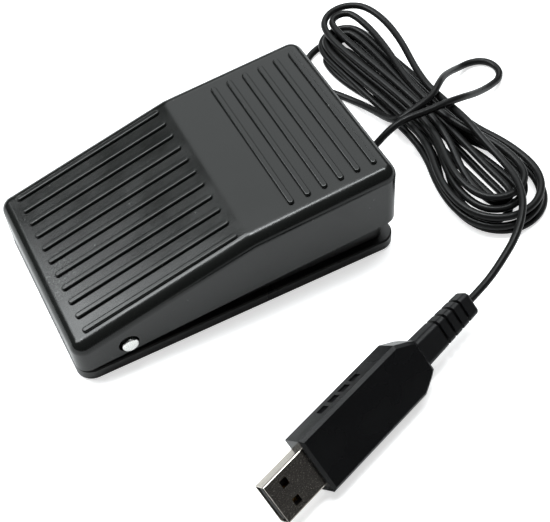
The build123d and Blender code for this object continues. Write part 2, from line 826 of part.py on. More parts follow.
def hank_path():
    """Centre line of the wound cord, from the start on its near side to the end on top of its waist."""
    turn = radians(hank_turn)
    right = Vector(cos(turn), sin(turn), 0)
    edges = []
    runs = hank_passes()
    for i, (step, low, high) in enumerate(runs):
        near = step % 2 == 0
        loose = i >= len(runs) - 2
        heading = right * (-1 if near else 1)
        z_in, z_out = layer_height(low), layer_height(high)
        z_waist = z_out if near else z_in
        waist = (-1 if near else 1) * (waist_offset - waist_step / 2 * step)
        x0, y0 = lobe_point(step, not near, loose)
        x1, y1 = lobe_point(step, near, loose)
        if i == 0:
            x0 = hank_start_x
            y0 = waist + (y1 - waist) * hank_start_x / hank_left_x
            edges.append(Line(hank_point(x0 + cord_diameter, y0, z_in), hank_point(x0, y0, z_in)))
            edges += s_bend(hank_point(x0, y0, z_in), hank_point(x1, y1, z_in), heading)
        elif i == len(runs) - 1:
            edges += s_bend(hank_point(x0, y0, z_in), hank_point(0, waist, z_in), heading)
            edges.append(Line(hank_point(0, waist, z_in), hank_point(hank_end_x, waist, z_in)))
            break
        else:
            edges += s_bend(hank_point(x0, y0, z_in), hank_point(0, waist, z_waist), heading)
            edges += s_bend(hank_point(0, waist, z_waist), hank_point(x1, y1, z_out), heading)
        after = lobe_point(runs[i + 1][0], near, loose)
        edges.append(half_turn(hank_point(x1, y1, z_out), hank_point(*after, z_out), heading))
    return Wire(edges)


def least_gap(path, spacing):
    """Least gap of a tube to itself, measured on points along its centre line."""
    count = int(path.length / spacing)
    points = [tuple(path.position_at(i / count)) for i in range(count + 1)]
    apart = int(4 * cord_diameter / spacing)
    least = min(dist(points[i], p) for i in range(count + 1) for p in points[i + apart:])
    return least - cord_diameter


def make_cord_hank():
    path = hank_path()
    section = Plane(origin=path @ 0, z_dir=path % 0) * Circle(cord_diameter / 2)
    solid = sweep(section, path=path)
    expected = pi * cord_diameter**2 / 4 * path.length
    print("cord_hank length", round(path.length, 1), "volume ratio", round(solid.volume / expected, 4))
    print("cord_hank least gap to itself", round(least_gap(path, 1.2), 3))
    return solid


def make_cord_feed():
    """Cord from the grommet over the hank's waist, round its bight, back over the waist to the hank."""
    path = hank_path()
    start = path @ 0
    heading = path % 0
    join = start - heading * (2.8 * cord_diameter)
    points = [
        (0.0, tray_length / 2, cord_height),
        (0.0, 52.6, cord_height),
        (-0.2, 59.6, 7.6),
        (-0.3, 67.0, 12.4),
        (-0.5, 75.0, 14.7),
        (-0.9, 86.6, 14.6),
        (-2.0, 94.4, 11.8),
        (-4.4, 100.4, 8.2),
        (-6.2, 105.4, 5.0),
        (-7.3, 109.8, 3.2),
        (-8.9, 113.4, 2.3),
        (-12.1, 115.6, 1.8),
        (-16.1, 115.5, 1.5),
        (-19.4, 113.0, 1.4),
        (-20.5, 108.9, 1.8),
        (-20.1, 103.6, 3.6),
        (-18.2, 98.4, 7.0),
        (-14.8, 93.0, 11.2),
        (-10.8, 87.0, 14.6),
        (-8.4, 76.2, 14.7),
        (-8.6, 69.8, 12.4),
        (-9.6, 65.8, 9.0),
        (-12.6, 64.0, 6.2),
        (-16.6, 65.2, 4.0),
        (-20.8, 68.4, 2.3),
        (join.X, join.Y, join.Z),
        (start.X, start.Y, start.Z),
    ]
    return tube("cord_feed", points, cord_diameter)


def make_cord_lead():
    """Cord from the top of the hank, over its fanned end, down to the connector's boot."""
    path = hank_path()
    start = path @ 1
    ahead = start + (path % 1) * (2.4 * cord_diameter)
    boot = plug_place((0, plug_length, 0))
    out = plug_place((0, plug_length + 2.6 * cord_diameter, 0))
    points = [
        (start.X, start.Y, start.Z),
        (ahead.X, ahead.Y, ahead.Z),
        (10.0, 89.9, 11.9),
        (18.0, 89.4, 14.0),
        (27.0, 87.0, 14.7),
        (36.5, 83.4, 14.4),
        (44.5, 78.6, 13.2),
        (50.8, 72.2, 11.2),
        (56.2, 65.4, 9.8),
        (out.X, out.Y, out.Z),
        (boot.X, boot.Y, boot.Z),
    ]
    return tube("cord_lead", points, cord_diameter)


# Connector, built in its own frame and placed last


def plug_frame():
    """Frame of the connector as it lies: rolled onto the long edge of its housing."""
    along = Vector(sin(plug_heading), cos(plug_heading), 0)
    beside = Vector(cos(plug_heading), -sin(plug_heading), 0)
    upward = Vector(0, 0, 1) * cos(plug_roll) + beside * sin(plug_roll)
    wide, high = housing_width / 2, housing_height / 2
    corners = [(wide, high - housing_chamfer), (wide - housing_chamfer, high)]
    height = max(x * sin(plug_roll) + z * cos(plug_roll) for x, z in corners)
    origin = Vector(plug_tip[0], plug_tip[1], height + hank_clearance)
    return Plane(origin=origin, x_dir=along.cross(upward), z_dir=upward)


def plug_place(point):
    return plug_frame().from_local_coords(Vector(*point))


def place_plug(piece):
    return plug_frame().location * piece


def slab(width, height, y, corner):
    """Rounded bar along y with the given section."""
    face = Plane(origin=(0, y[0], 0), x_dir=(1, 0, 0), z_dir=(0, 1, 0)) * RectangleRounded(width, height, corner)
    return extrude(face, amount=y[1] - y[0])


def make_usb_shell():
    """Folded steel sleeve with two latch windows in each wide face."""
    end = shell_exposed + shell_inside
    shell = slab(shell_width, shell_height, (0, end), shell_corner)
    inner = (shell_width - 2 * shell_wall, shell_height - 2 * shell_wall)
    shell -= slab(inner[0], inner[1], (-1, end + 1), shell_corner - shell_wall / 2)
    half = window_size / 2
    for side in (-1, 1):
        x = side * window_spacing / 2
        y = (window_from_tip - half, window_from_tip + half)
        shell -= block((x - half, x + half), y, (-shell_height, shell_height))
    return place_plug(shell)


def tongue_z():
    """Range of z of the tongue, which lies on the shell's lower wall."""
    low = -shell_height / 2 + shell_wall
    return (low, low + tongue_thick)


def make_usb_tongue():
    half = tongue_width / 2
    front = block((-half, half), (tongue_setback, shell_exposed - 2), tongue_z())
    back_top = shell_height / 2 - shell_wall - part_fit
    back = block((-half, half), (shell_exposed - 2, shell_exposed + shell_inside), (tongue_z()[0], back_top))
    return place_plug(front + back)


def make_usb_contacts():
    """Four plated strips on the tongue: the outer two reach further forward."""
    top = tongue_z()[1]
    strips = []
    for i in range(4):
        x = (i - 1.5) * contact_strip_pitch
        start = tongue_setback + (1.0 if i in (0, 3) else 2.0)
        strips.append(block(
            (x - contact_strip_width / 2, x + contact_strip_width / 2),
            (start, start + contact_strip_length),
            (top, top + contact_strip_thick),
        ))
    return place_plug(Part() + strips)


def housing_outline(inset):
    """Half outline of the housing in x and y, inset from its sides and shaped hips."""
    front = shell_exposed + inset
    hips = shell_exposed + housing_straight
    points = [
        (housing_width / 2 - inset, front),
        (housing_width / 2 - inset, hips),
        (housing_hip_half - inset, shell_exposed + housing_hip_length - inset),
        (housing_end_half - inset, shell_exposed + housing_length - inset),
    ]
    return points + [(-x, y) for x, y in reversed(points)]


def housing_form():
    form = extrude(Polygon(*housing_outline(0), align=None), amount=housing_height / 2, both=True)
    faces = form.faces().sort_by(Axis.Z)
    return chamfer(faces[0].edges() + faces[-1].edges(), housing_chamfer)


def make_housing(side):
    """One half of the connector's housing: side is 1 for the upper and -1 for the lower half."""
    inner_half = housing_height / 2 - housing_wall
    cavity = extrude(Polygon(*housing_outline(housing_wall), align=None), amount=inner_half, both=True)
    keep = sorted((0, side * housing_height))
    half = housing_form() & block((-housing_width, housing_width), (0, 2 * plug_length), keep)
    half -= cavity
    opening = (shell_width + part_fit, shell_height + part_fit)
    start, low = board_place()
    for x in (-1, 1):
        for y in (board_post_inset, board_length - board_post_inset):
            half += post(board_post_diameter / 2, x * (board_width / 2 - board_post_inset), start + y,
                         sorted((side * board_thick / 2, side * inner_half)))
    half -= slab(opening[0], opening[1], (0, shell_exposed + 2 * housing_wall), shell_corner)
    boot_start = shell_exposed + housing_length
    half -= slab(
        boot_root_width + part_fit, boot_root_height + part_fit,
        (boot_start - 2 * housing_wall, boot_start + 1), boot_corner,
    )
    for edge in (-1, 1):
        for i in range(recess_count):
            y = shell_exposed + recess_first + i * recess_pitch
            x = sorted((edge * housing_width, edge * (housing_width / 2 - recess_depth)))
            z = (-recess_height / 2, recess_height / 2)
            half -= block(x, (y - recess_length / 2, y + recess_length / 2), z)
    return place_plug(half)


def make_plug_boot():
    """Ribbed strain relief: a smooth neck out of the housing, then ribs between narrow grooves."""
    start = shell_exposed + housing_length
    end = start + boot_length
    front = Plane(origin=(0, start, 0), x_dir=(1, 0, 0), z_dir=(0, 1, 0))
    back = Plane(origin=(0, end, 0), x_dir=(1, 0, 0), z_dir=(0, 1, 0))
    root = front * RectangleRounded(boot_root_width, boot_root_height, boot_corner)
    tip = back * RectangleRounded(boot_tip_width, boot_tip_height, boot_corner)
    boot = loft([root, tip])
    boot = fillet(boot.faces().sort_by(Axis.Y)[-1].edges(), boot_end_round)
    boot += slab(boot_root_width, boot_root_height, (start - housing_wall - boot_flange_thick, start), boot_corner)
    flange_height = housing_height - 2 * housing_wall - part_fit
    flange = (start - housing_wall - boot_flange_thick - part_fit, start - housing_wall - part_fit)
    boot += slab(housing_end_half * 2 - 2 * housing_wall - part_fit, flange_height, flange, boot_corner)
    core_width = boot_tip_width - 2 * boot_groove_depth
    core_height = boot_tip_height - 2 * boot_groove_depth
    for i in range(boot_groove_count):
        y = start + boot_groove_first + i * boot_groove_pitch
        span = (y - boot_groove_width / 2, y + boot_groove_width / 2)
        ring = slab(2 * boot_root_width, 2 * boot_root_height, span, boot_corner)
        boot -= ring - slab(core_width, core_height, span, boot_corner / 2)
    boot -= rod_y(cord_diameter / 2, 0, (start - housing_length, end - boot_length / 2), 0)
    return place_plug(boot)


def board_place():
    """Where the circuit board starts, and the height of its upper side."""
    return shell_exposed + shell_inside, -board_thick / 2


def make_plug_board():
    start, low = board_place()
    half = board_width / 2
    return place_plug(block((-half, half), (start, start + board_length), (low, low + board_thick)))


def on_board(size, x, y):
    """Component of the given size on the board's upper side, y from the board's front end."""
    start, low = board_place()
    top = low + board_thick
    half_x, half_y = size[0] / 2, size[1] / 2
    return block((x - half_x, x + half_x), (start + y - half_y, start + y + half_y), (top, top + size[2]))


def make_plug_controller():
    chip = on_board(chip_size, 0, 7.0)
    return place_plug(chamfer(chip.faces().sort_by(Axis.Z)[-1].edges(), chip_size[2] / 5))


def make_plug_crystal():
    can = on_board(crystal_size, 0, 15.5)
    can = fillet(can.edges().filter_by(Axis.Z), crystal_size[1] * 0.45)
    return place_plug(can)


def make_plug_capacitors():
    places = [(-4.9, 4.0), (-4.9, 7.5), (4.9, 7.5), (-4.0, 20.5), (4.0, 20.5)]
    return place_plug(Part() + [on_board(capacitor_size, x, y) for x, y in places])


def make_plug_wires():
    """The cord's two used cores where they run from its jacket to the board's rear pads."""
    start, low = board_place()
    top = low + board_thick
    radius = lead_diameter / 2
    reach = (start + board_length - 3.5, shell_exposed + housing_length - housing_wall - boot_flange_thick - part_fit)
    cores = [rod_y(radius, side * lead_spread * 2, reach, top + radius) for side in (-1, 1)]
    return place_plug(Part() + cores)


def write_parts():
    pieces = {
        "pedal_cover": make_pedal_cover(),
        "base_tray": make_base_tray(),
        "rubber_feet": make_rubber_feet(),
        "hinge_pin": make_hinge_pin(),
        "return_spring": make_return_spring(),
        "switch_case": make_switch_case(),
        "switch_cover": make_switch_cover(),
        "common_terminal": make_common_terminal(),
        "open_terminal": make_open_terminal(),
        "closed_terminal": make_closed_terminal(),
        "snap_blade": make_snap_blade(),
        "switch_plunger": make_switch_plunger(),
        "switch_lever": make_switch_lever(),
        "lever_pin": make_lever_pin(),
        "switch_screws": make_switch_screws(),
        "cord_grommet": make_cord_grommet(),
        "cord_clamp": make_cord_clamp(),
        "clamp_screws": make_clamp_screws(),
        "cord_tail": make_cord_tail(),
        "lead_open": make_lead_open(),
        "lead_common": make_lead_common(),
        "cord_feed": make_cord_feed(),
        "cord_hank": make_cord_hank(),
        "cord_lead": make_cord_lead(),
        "usb_shell": make_usb_shell(),
        "usb_tongue": make_usb_tongue(),
        "usb_contacts": make_usb_contacts(),
        "plug_housing_upper": make_housing(1),
        "plug_housing_lower": make_housing(-1),
        "plug_boot": make_plug_boot(),
        "plug_board": make_plug_board(),
        "plug_controller": make_plug_controller(),
        "plug_crystal": make_plug_crystal(),
        "plug_capacitors": make_plug_capacitors(),
        "plug_wires": make_plug_wires(),
    }
    os.makedirs("parts", exist_ok=True)
    for name, solid in pieces.items():
        export_step(solid, f"parts/{name}.step")


write_parts()
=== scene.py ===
# %% [markdown]
# # A foot pedal switch with its cord and plug
#
# The object is a wedge-shaped pedal of black moulded plastic on a low base. It works a small
# switch inside, and a thin cord, wound into a hank, takes the signal to a plug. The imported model
# holds every rigid piece in its place, so this script lights it, lays the cord, and gives each
# piece the finish of the real material.

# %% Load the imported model
import math

import bmesh
import bpy
from mathutils import Matrix, Vector


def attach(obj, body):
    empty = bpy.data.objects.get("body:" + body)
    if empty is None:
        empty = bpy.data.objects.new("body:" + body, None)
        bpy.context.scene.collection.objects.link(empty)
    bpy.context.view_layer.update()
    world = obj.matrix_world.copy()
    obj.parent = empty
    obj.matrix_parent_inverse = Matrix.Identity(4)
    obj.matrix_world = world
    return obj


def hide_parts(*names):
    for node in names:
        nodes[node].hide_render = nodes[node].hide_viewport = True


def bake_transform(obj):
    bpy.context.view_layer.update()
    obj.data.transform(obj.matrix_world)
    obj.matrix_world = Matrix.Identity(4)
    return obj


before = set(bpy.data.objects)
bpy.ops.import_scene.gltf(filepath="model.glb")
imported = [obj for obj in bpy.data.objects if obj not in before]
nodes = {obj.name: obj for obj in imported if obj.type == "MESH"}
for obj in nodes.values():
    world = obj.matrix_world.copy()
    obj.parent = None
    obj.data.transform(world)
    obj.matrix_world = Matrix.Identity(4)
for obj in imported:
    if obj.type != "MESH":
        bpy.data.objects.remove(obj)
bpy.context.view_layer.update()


# %% [markdown]
# ## Camera
#
# The photograph was taken from above and from the hinge end's right, with a fairly long lens.
# The camera's direction, distance and small tilt were worked out from the pedal's edges, so the
# same view can be laid over the photograph. A matrix sets all of that in one go: its columns are
# the camera's right, its up, the way back from what it looks at, and its place.

# %% Set the camera
def mm(x, y, z):
    """A point given in millimetres, in metres."""
    return Vector((x, y, z)) / 1000


def look_from(azimuth, elevation, roll, distance, target):
    """Matrix of a camera or lamp, from its direction and tilt in degrees and its distance."""
    a, e, t = (math.radians(v) for v in (azimuth, elevation, roll))
    back = Vector((math.sin(a) * math.cos(e), -math.cos(a) * math.cos(e), math.sin(e)))
    level = (-back).cross(Vector((0, 0, 1))).normalized()
    rise = level.cross(-back)
    right = level * math.cos(t) + rise * math.sin(t)
    up = rise * math.cos(t) - level * math.sin(t)
    place = target + back * distance
    columns = [tuple(right) + (0,), tuple(up) + (0,), tuple(back) + (0,), tuple(place) + (1,)]
    return Matrix(columns).transposed()


camera_data = bpy.data.cameras.new("view")
camera_data.lens = 77.0
camera_data.sensor_width = 36.0
camera = bpy.data.objects.new("view", camera_data)
camera.matrix_world = look_from(azimuth=66.91, elevation=52.95, roll=-5.04, distance=0.32747,
                                target=mm(28.97, 11.07, 15.6))
bpy.context.scene.collection.objects.link(camera)
bpy.context.scene.camera = camera
print("camera at", tuple(round(v, 4) for v in camera.matrix_world.translation))


# %% [markdown]
# ## The cord's route
#
# A cord is one smooth line, so it is one NURBS spline with a round bevel. Its control points
# start at the grommet in the base's rear wall, go over the hank's waist, round a small bight that
# ties the hank, back over the waist and into the hank. After the last turn the cord runs over the
# hank's fanned end, down to the plug's boot. Handles placed in this way bend like a limp cord
# does, which a string of straight runs would not.

# %% Points from the base to the hank
feed_points = [
    (0.0, 47.0, 4.8),
    (0.0, 52.6, 4.8),
    (-0.5, 59.2, 7.2),
    (-0.9, 65.2, 12.0),
    (-0.3, 70.2, 14.9),
    (0.3, 77.0, 14.9),
    (0.2, 84.6, 14.9),
    (-1.2, 91.8, 12.6),
    (-3.8, 98.2, 8.6),
    (-6.6, 104.0, 5.2),
    (-8.8, 108.8, 3.2),
    (-10.8, 112.8, 1.9),
    (-14.0, 115.5, 1.5),
    (-18.4, 115.5, 1.4),
    (-21.6, 112.9, 1.3),
    (-22.6, 108.6, 1.4),
    (-21.3, 104.2, 2.6),
    (-18.6, 99.2, 5.6),
    (-14.8, 93.8, 9.4),
    (-10.4, 89.0, 12.0),
    (-6.8, 84.6, 12.3),
    (-5.2, 79.2, 12.2),
    (-4.2, 73.8, 11.9),
    (-4.2, 71.2, 10.8),
    (-7.2, 70.2, 8.4),
]
print("the cord's feed has", len(feed_points), "control points")


# %% [markdown]
# ## The hank
#
# The hank is wound round two lobes and drawn in at its waist, where the cord's own bight ties it.
# Each turn round a lobe is given by its place, its two sides and its height, and these differ from
# turn to turn, because nobody winds a cord evenly. Between two turns the cord passes the waist.
# All lengths are in millimetres, along the hank and across it from its waist.

# %% Turns of the hank
# The strand that comes down from the waist and swings round the near side: along, across, height.
first_turn = [
    (-7.4, -11.0, 6.4),
    (-12.4, -10.9, 4.6),
    (-17.6, -11.2, 3.0),
    (-22.9, -12.2, 1.7),
    (-28.0, -14.0, 1.2),
    (-32.6, -16.6, 1.2),
    (-37.2, -17.8, 1.2),
    (-42.0, -17.2, 1.2),
    (-46.2, -14.9, 1.2),
    (-49.0, -11.2, 1.2),
    (-50.4, -6.8, 1.2),
    (-50.6, -1.8, 1.2),
    (-48.8, 3.8, 1.2),
    (-44.2, 6.4, 1.2),
]
leaves_first_turn = (-40.0, 6.2, 1.2)
# Each row is one pass of the waist and the turn after it: the strand's side and height at the
# waist, then the turn's place along the hank, the side it comes in on, the side it leaves on and
# its height.
passes = [
    (5.3, 1.2, 35.0, 13.8, -13.6, 1.2),
    (-3.6, 1.2, -40.6, -9.2, 0.9, 1.2),
    (2.3, 1.2, 36.5, 1.5, -10.9, 1.2),
    (-0.8, 1.2, -42.8, -3.6, 3.6, 3.95),
    (2.3, 3.95, 37.4, 5.2, -3.6, 3.95),
    (-3.6, 3.95, -42.8, -6.1, 6.0, 3.95),
    (5.3, 3.95, 34.9, 12.0, -15.2, 3.95),
    (-8.0, 3.95, -42.9, -8.7, 8.4, 3.95),
    (9.2, 4.4, 33.9, 12.8, -14.6, 6.7),
    (-6.6, 6.7, -41.8, -8.0, 6.2, 6.7),
    (5.3, 6.7, 34.6, 7.0, -11.4, 6.7),
    (-3.6, 6.7, -41.8, -5.4, 3.6, 6.7),
    (2.3, 6.7, 37.1, 1.2, -7.1, 6.7),
    (-0.8, 9.45, -47.2, -2.0, 7.4, 9.45),
    (2.3, 9.45, 32.8, 8.2, -10.2, 9.45),
    (-3.6, 9.45, -45.2, -5.6, 13.6, 9.45),
]
last_at_waist = (0.0, 6.3, 9.6)
print("the hank has", 1 + len(passes), "half turns")


# %% [markdown]
# ## From turns to control points
#
# Four control points make a half turn: they stand on a polygon round the circle, so the spline
# touches the circle between them. Two more on each side of the waist draw the strand in. The hank
# lies a little askew behind the pedal, so every point is turned by its angle and moved to its
# waist.

# %% Control points of the hank
hank_waist = (-5.0, 81.7)
hank_angle = math.radians(6.5)
polygon_half_step = math.radians(22.5)
polygon_angles = [math.radians(v) for v in (-67.5, -22.5, 22.5, 67.5)]


def in_hank(along, across, height):
    """Point of the part's frame, in millimetres, from a place along the hank and across it."""
    x = hank_waist[0] + along * math.cos(hank_angle) - across * math.sin(hank_angle)
    y = hank_waist[1] + along * math.sin(hank_angle) + across * math.cos(hank_angle)
    return (x, y, height)


def turn_points(along, side_in, side_out, height):
    """Four control points round a half turn, on the outer side of a lobe."""
    outward = 1 if along > 0 else -1
    middle = (side_in + side_out) / 2
    corner = (side_out - side_in) / 2 / math.cos(polygon_half_step)
    return [in_hank(along + outward * abs(corner) * math.cos(angle),
                    middle + corner * math.sin(angle), height)
            for angle in polygon_angles]


def strand_points(start, end):
    """Two control points of a strand drawn from one place to another, level at both ends."""
    (x0, y0, z0), (x1, y1, z1) = start, end
    quarter = (x1 - x0) / 4
    return [in_hank(x0 + quarter, y0, z0), in_hank(x1 - quarter, y1, z1)]


hank_points = [in_hank(*point) for point in first_turn]
last = leaves_first_turn
for waist_side, waist_height, along, side_in, side_out, height in passes:
    at_waist = (0.0, waist_side, waist_height)
    hank_points += strand_points(last, at_waist)
    hank_points += strand_points(at_waist, (along, side_in, height))
    hank_points += turn_points(along, side_in, side_out, height)
    last = (along, side_out, height)
hank_points += strand_points(last, last_at_waist)
hank_points.append(in_hank(*last_at_waist))
print("the hank has", len(hank_points), "control points")


# %% [markdown]
# ## From the hank to the plug
#
# The last strand comes out of the top layer at the waist, runs over the near lobe and drops in a
# wide curve to the plug's boot. Its last two points lie on the boot's own line, so the cord goes
# in straight, as a moulded strain relief makes it.

# %% Points from the hank to the plug
lead_points = [
    (3.0, 87.6, 12.1),
    (9.0, 87.8, 12.7),
    (16.0, 87.8, 12.3),
    (23.0, 88.2, 12.0),
    (30.0, 88.3, 12.0),
    (36.6, 87.3, 12.3),
    (42.7, 84.6, 12.4),
    (47.9, 80.4, 11.6),
    (52.2, 75.2, 10.4),
    (55.6, 69.2, 9.4),
    (58.3, 64.2, 8.8),
    (60.62, 58.91, 8.4),
    (62.71, 53.32, 8.4),
]
route = feed_points + hank_points + lead_points
print("the whole cord has", len(route), "control points")


# %% [markdown]
# ## The cord itself
#
# A curve object with a round bevel is a cord that stays smooth at any distance. Its bevel is one
# metre deep, and every point's radius brings that down to the cord's own. It could be a mesh tube,
# but a curve can still be moved point by point. The cord then rides on the base's body, and the
# imported solids that it stands for are hidden.

# %% Lay the cord
cord_diameter = 0.0023


def cord_curve(name, points, diameter):
    """A smooth round cord led by a row of control points in millimetres."""
    data = bpy.data.curves.new(name, "CURVE")
    data.dimensions = "3D"
    data.bevel_depth = 1.0
    data.bevel_resolution = 3
    data.resolution_u = 8
    data.use_fill_caps = True
    spline = data.splines.new("NURBS")
    spline.points.add(len(points) - 1)
    for point, place in zip(spline.points, points):
        point.co = (*mm(*place), 1.0)
        point.radius = diameter / 2
    spline.order_u = 3
    spline.use_endpoint_u = True
    spline.use_smooth = True
    curve = bpy.data.objects.new(name, data)
    bpy.context.scene.collection.objects.link(curve)
    return curve


cord = cord_curve("signal_cord", route, cord_diameter)
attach(cord, "base")
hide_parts("cord_feed", "cord_hank", "cord_lead")


# %% [markdown]
# ## The return spring
#
# A coil spring under the pedal's high end lifts it again. When the pedal goes down the coil gets
# shorter and leans a little, and a rigid one would stand through the pedal. Here the coil is a
# copy of the imported mesh, with its loose triangles joined and its place baked into its points,
# and it takes the place of the imported spring, which is hidden. It stays rigid.

# %% Return coil
# Corners closer than a thousandth of a millimetre are one corner.
same_corner = 1e-6
packed_spring = nodes["return_spring"]
coil = bpy.data.objects.new("return_coil", packed_spring.data.copy())
bpy.context.scene.collection.objects.link(coil)
shape = bmesh.new()
shape.from_mesh(coil.data)
bmesh.ops.remove_doubles(shape, verts=shape.verts, dist=same_corner)
shape.to_mesh(coil.data)
shape.free()
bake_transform(coil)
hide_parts("return_spring")


# %% [markdown]
# ## Helpers for materials
#
# Every material is a small tree of nodes. One function turns the hex colour that a paint chart or
# a picture shows to the linear value that a shader takes, and one adds a node with its settings
# and its links, so a whole material reads as a list of what it is made of.

# %% Colours and nodes
def srgb(text):
    """An sRGB hex colour as the linear colour that a shader takes."""
    values = [int(text[i:i + 2], 16) / 255 for i in (1, 3, 5)]
    linear = [v / 12.92 if v <= 0.04045 else ((v + 0.055) / 1.055) ** 2.4 for v in values]
    return (*linear, 1.0)


def add_node(tree, kind, inputs=None, **settings):
    """Adds a node, sets its properties, and sets or links its inputs by name or number."""
    node = tree.nodes.new(kind)
    for name, value in settings.items():
        setattr(node, name, value)
    for name, value in (inputs or {}).items():
        socket = node.inputs[name]
        if isinstance(value, bpy.types.NodeSocket):
            tree.links.new(value, socket)
        else:
            socket.default_value = value
    return node


def new_material(name):
    """An empty material with its output node."""
    material = bpy.data.materials.new(name)
    material.use_nodes = True
    tree = material.node_tree
    tree.nodes.clear()
    return material, tree, tree.nodes.new("ShaderNodeOutputMaterial")


print("mid grey as a linear colour:", [round(v, 3) for v in srgb("#808080")])


# %% [markdown]
# ## Floor
#
# The photograph has the even white ground of a picture for a shop. A wide pale floor of matt paper
# gives that, and it glows a little for the camera alone, so that it reads as white. A floor that
# glowed for everything would be as white, but it would light the object from below. Far from the
# lamps the paper gets little light, so its glow grows with the distance.

# %% White ground
# Between these two distances, in metres, the glow grows from its near level to its far one.
glow_starts, glow_ends = 0.3, 1.2
glow_near, glow_far = 0.65, 1.0


def lit_ground(name):
    """Matt white ground that the camera sees a little brighter than its light makes it."""
    material, tree, output = new_material(name)
    path = add_node(tree, "ShaderNodeLightPath")
    coords = add_node(tree, "ShaderNodeTexCoord")
    distance = add_node(tree, "ShaderNodeVectorMath", {0: coords.outputs["Object"]},
                        operation="LENGTH")
    glow_level = add_node(tree, "ShaderNodeMapRange", {
        "Value": distance.outputs["Value"], "From Min": glow_starts, "From Max": glow_ends,
        "To Min": glow_near, "To Max": glow_far})
    lift = add_node(tree, "ShaderNodeMath", {
        0: path.outputs["Is Camera Ray"], 1: glow_level.outputs[0]}, operation="MULTIPLY")
    matt = add_node(tree, "ShaderNodeBsdfDiffuse", {"Color": srgb("#dfdfdf")})
    glow = add_node(tree, "ShaderNodeEmission", {
        "Color": srgb("#ffffff"), "Strength": lift.outputs[0]})
    both = add_node(tree, "ShaderNodeAddShader", {0: matt.outputs[0], 1: glow.outputs[0]})
    tree.links.new(both.outputs[0], output.inputs["Surface"])
    return material


bpy.ops.object.select_all(action="DESELECT")
bpy.ops.mesh.primitive_circle_add(vertices=64, radius=3.0, fill_type="NGON", location=(0, 0, 0))
floor = bpy.context.object
floor.name = "studio_floor"
floor.data.materials.append(lit_ground("matt white paper"))
print("floor", round(floor.dimensions.x, 2), "m across")


# %% [markdown]
# ## Lamps
#
# The black plastic shows its form by what it mirrors, so each lamp stands where one face looks: a
# wide box on the far side lies in the level faces, a smaller one lights the low corner of the
# slope, and a strip overhead draws the thin bright line along the long edge. A small spot beside
# the strip carries that line on past the crease. All are a trace cooler than white.

# %% Soft lamps
def area_lamp(name, azimuth, elevation, distance, width, height, power, target, colour):
    """A soft rectangular lamp in a direction round the object, turned towards it."""
    data = bpy.data.lights.new(name, "AREA")
    data.shape = "RECTANGLE"
    data.size, data.size_y = width, height
    data.energy = power
    data.color = colour
    lamp = bpy.data.objects.new(name, data)
    lamp.matrix_world = look_from(azimuth, elevation, roll=0, distance=distance, target=target)
    bpy.context.scene.collection.objects.link(lamp)
    return lamp


lit_place = mm(0, 20, 10)
cool_white = (0.96, 1.0, 1.01)
# Azimuth and elevation in degrees, distance, width and height in metres, power in watts.
lamps = {
    "overhead_softbox": (238, 55, 1.0, 1.0, 1.2, 7.4),
    "front_softbox": (322, 52, 1.1, 0.55, 0.55, 9.5),
    "ceiling_strip": (258, 81, 1.2, 1.1, 0.2, 11.0),
    "ceiling_spot": (275, 86, 1.15, 0.18, 0.18, 3.0),
}
for lamp_name, setting in lamps.items():
    lamp = area_lamp(lamp_name, *setting, lit_place, cool_white)
    print(lamp.name, "at", tuple(round(v, 2) for v in lamp.matrix_world.translation))


# %% [markdown]
# ## Room
#
# The room between the lamps is nearly dark, which keeps the rounded edges dark and lets the lamps
# alone draw them. The camera itself sees plain white past the floor's end, as paper that curves up
# behind an object would give. The Standard view shows colours as they are, without a film's curve.

# %% Dark room with a white background
room_light = 0.04
world = bpy.data.worlds.new("pale room")
bpy.context.scene.world = world
world.use_nodes = True
room_tree = world.node_tree
room_tree.nodes.clear()
room_output = room_tree.nodes.new("ShaderNodeOutputWorld")
path = add_node(room_tree, "ShaderNodeLightPath")
room = add_node(room_tree, "ShaderNodeBackground", {
    "Color": srgb("#f4f6f8"), "Strength": room_light})
plain = add_node(room_tree, "ShaderNodeBackground", {"Color": srgb("#ffffff"), "Strength": 1.0})
mix = add_node(room_tree, "ShaderNodeMixShader", {
    0: path.outputs["Is Camera Ray"], 1: room.outputs[0], 2: plain.outputs[0]})
room_tree.links.new(mix.outputs[0], room_output.inputs["Surface"])
bpy.context.scene.view_settings.view_transform = "Standard"
print(world.name, "lit at", room_light)


# %% [markdown]
# ## Specks and dust
#
# A black pedal that stands on a floor shows every speck. Some lie anywhere on it, and loose dust
# gathers in patches on its low end, where the shoe comes on, but not on its sides. Voronoi cells
# give single dots, and a fine noise gives loose dust. A mask for the place along the pedal, one for
# faces that look up and one for broad patches keep the dust where it would lie.

# %% Wear on the pedal
# A Mix node has sockets for each kind of value. These are its factor and those for colours.
mix_factor, mix_first, mix_second, mixed_colour = 0, 6, 7, 2
# One cell in ten holds a speck, about half a millimetre across. Real ones are finer, and they are
# drawn coarser here so that they show.
speck_cell_mm, speck_reach, speck_share, speck_strength = 3.1, 0.075, 0.1, 0.22
# Grains of dust are far below a tenth of a millimetre, so this one too is drawn coarser to show.
dust_mm, dust_range, dust_strength = 0.9, (0.5, 0.75), 0.14
# The dust fades out between these two places along the pedal, in millimetres.
dust_full_y, dust_gone_y = -44.0, -37.0
facing_up, dusty_patches = (0.9, 0.96), (0.46, 0.56)


def object_space(tree, size_mm, stretch=(1, 1, 1)):
    """Object coordinates turned from metres to a pattern of a given size in millimetres."""
    coords = add_node(tree, "ShaderNodeTexCoord")
    scale = tuple(1000 / (size_mm * s) for s in stretch)
    space = add_node(tree, "ShaderNodeMapping", {
        "Vector": coords.outputs["Object"], "Scale": scale})
    return space.outputs[0]


